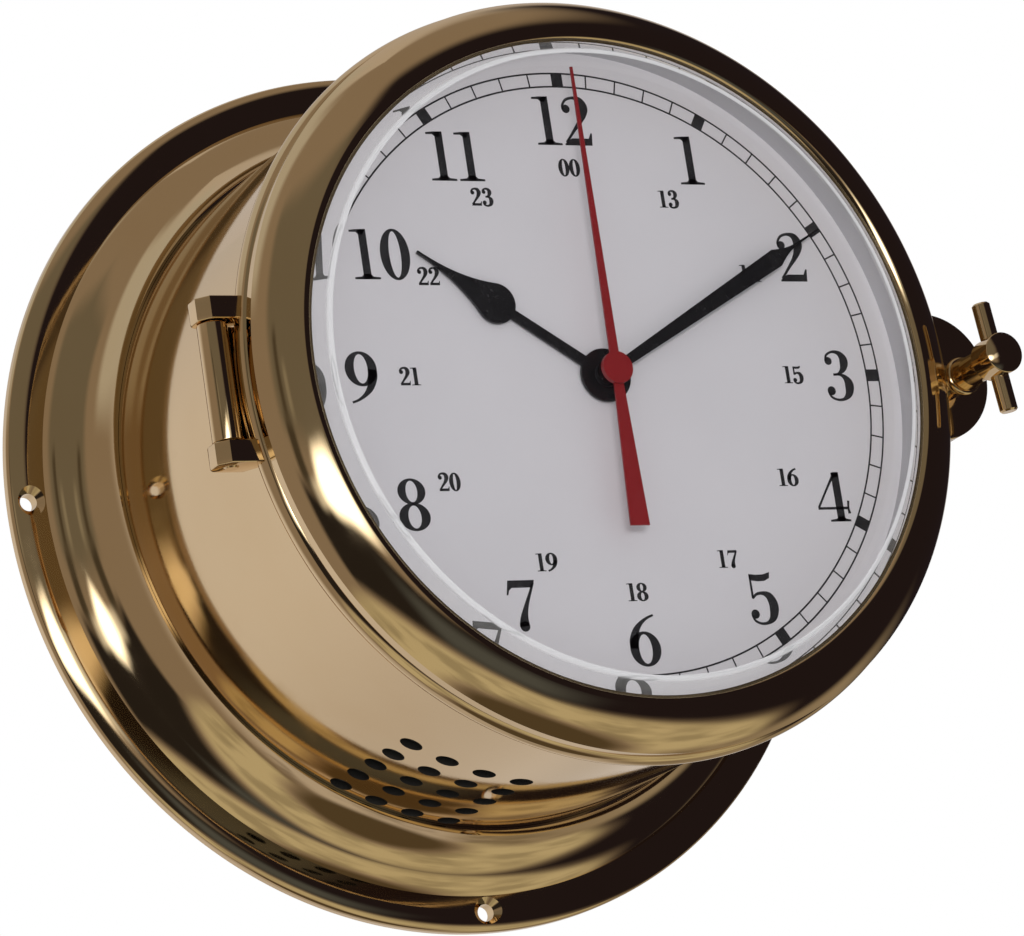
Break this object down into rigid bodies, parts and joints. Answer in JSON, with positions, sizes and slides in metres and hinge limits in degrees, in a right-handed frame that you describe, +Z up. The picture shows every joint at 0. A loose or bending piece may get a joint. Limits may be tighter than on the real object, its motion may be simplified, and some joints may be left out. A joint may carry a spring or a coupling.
{
  "type": "marine clock",
  "caption": "Bulkhead marine clock: polished brass drum case on a screwed flange, hinged bezel with bevelled glass and a screw latch with a cross bar, white dial, battery movement.",
  "frame": {"origin": "centre of the flange's back face, where the clock's axis meets the bulkhead", "axes": "+X towards 3 o'clock, -Y out of the bulkhead towards the viewer, +Z up towards 12 o'clock"},
  "size_m": [0.18, 0.0972, 0.18],
  "materials": {
    "brass": "polished",
    "steel": "satin",
    "satin_aluminium": "satin",
    "dial_white": "matte",
    "hand_black": "satin",
    "hand_red": "satin",
    "glass": "gloss",
    "rubber": "matte",
    "felt": "matte",
    "black_plastic": "matte",
    "white_plastic": "satin",
    "board": "satin",
    "copper": "enamelled",
    "battery_jacket": "gloss"
  },
  "bodies": {
    "case": {"flange": "brass", "case_drum": "brass", "hinge_knuckle": "brass", "latch_keeper": "brass", "dial_seat": "brass", "dial_plate": "dial_white", "dial_screws": "steel", "dial_studs": "steel", "stud_nuts": "steel", "dial_surround": "satin_aluminium", "movement_housing": "black_plastic", "movement_cover": "black_plastic", "cover_screws": "steel", "centre_bush": "brass", "movement_washer": "rubber", "rear_plate": "steel", "middle_plate": "steel", "plate_pillars": "brass", "circuit_board": "board", "quartz_crystal": "steel", "drive_coil": "copper", "stator": "steel", "battery": "battery_jacket", "plus_contact": "steel", "minus_contact": "steel"},
    "seconds": {"seconds_wheel": "brass", "seconds_hand": "hand_red"},
    "minutes": {"centre_wheel": "brass", "minute_hand": "hand_black"},
    "hours": {"hour_wheel": "brass", "hour_hand": "hand_black"},
    "third": {"third_wheel": "white_plastic"},
    "motion": {"minute_wheel": "white_plastic"},
    "intermediate": {"intermediate_wheel": "white_plastic"},
    "rotor": {"motor_rotor": "steel"},
    "setting": {"setting_knob": "white_plastic"},
    "bezel_door": {"bezel": "brass", "hinge_lugs": "brass", "hinge_pin": "steel", "glass": "glass", "glass_gasket": "rubber", "glass_retainer": "brass", "bezel_seal": "felt", "latch_lug": "brass"},
    "latch_carrier": {"latch_washer": "brass"},
    "latch_head": {"latch_screw": "brass", "latch_knob": "brass", "latch_bar": "brass"}
  },
  "joints": [
    {"name": "seconds_turn", "type": "hinge", "parent": "case", "child": "seconds", "pos_m": [0, -0.0675, 0], "axis": [0, 1, 0], "continuous": true},
    {"name": "minutes_turn", "type": "hinge", "parent": "case", "child": "minutes", "pos_m": [0, -0.071, 0], "axis": [0, 1, 0], "continuous": true},
    {"name": "hours_turn", "type": "hinge", "parent": "case", "child": "hours", "pos_m": [0, -0.0755, 0], "axis": [0, 1, 0], "continuous": true},
    {"name": "third_turn", "type": "hinge", "parent": "case", "child": "third", "pos_m": [-0.01005, -0.0687, 0.00177], "axis": [0, 1, 0], "continuous": true},
    {"name": "motion_turn", "type": "hinge", "parent": "case", "child": "motion", "pos_m": [0.00902, -0.0738, 0.00328], "axis": [0, 1, 0], "continuous": true},
    {"name": "intermediate_turn", "type": "hinge", "parent": "case", "child": "intermediate", "pos_m": [0, -0.066, 0.0108], "axis": [0, 1, 0], "continuous": true},
    {"name": "rotor_turn", "type": "hinge", "parent": "case", "child": "rotor", "pos_m": [0.00606, -0.068, 0.0143], "axis": [0, 1, 0], "continuous": true},
    {"name": "setting_turn", "type": "hinge", "parent": "case", "child": "setting", "pos_m": [0.01837, -0.064, -0.00212], "axis": [0, 1, 0], "continuous": true},
    {"name": "bezel_hinge", "type": "hinge", "parent": "case", "child": "bezel_door", "pos_m": [-0.0783, -0.0784, 0], "axis": [0, 0, -1], "range_deg": [0, 135]},
    {"name": "latch_slide", "type": "slide", "parent": "bezel_door", "child": "latch_carrier", "axis": [0, -1, 0], "range_m": [0, 0.0028]},
    {"name": "latch_turn", "type": "hinge", "parent": "latch_carrier", "child": "latch_head", "pos_m": [0.0813, -0.0927, 0], "axis": [0, -1, 0], "range_deg": [0, 1440]}
  ],
  "couplings": [
    {"joint": "third_turn", "follows": "seconds_turn", "ratio": -0.13333},
    {"joint": "minutes_turn", "follows": "seconds_turn", "ratio": 0.016667},
    {"joint": "motion_turn", "follows": "seconds_turn", "ratio": -0.0055556},
    {"joint": "hours_turn", "follows": "seconds_turn", "ratio": 0.0013889},
    {"joint": "setting_turn", "follows": "seconds_turn", "ratio": 0.011111},
    {"joint": "intermediate_turn", "follows": "seconds_turn", "ratio": -5},
    {"joint": "rotor_turn", "follows": "seconds_turn", "ratio": 30},
    {"joint": "latch_turn", "follows": "latch_slide", "rad_per_m": 8976}
  ]
}
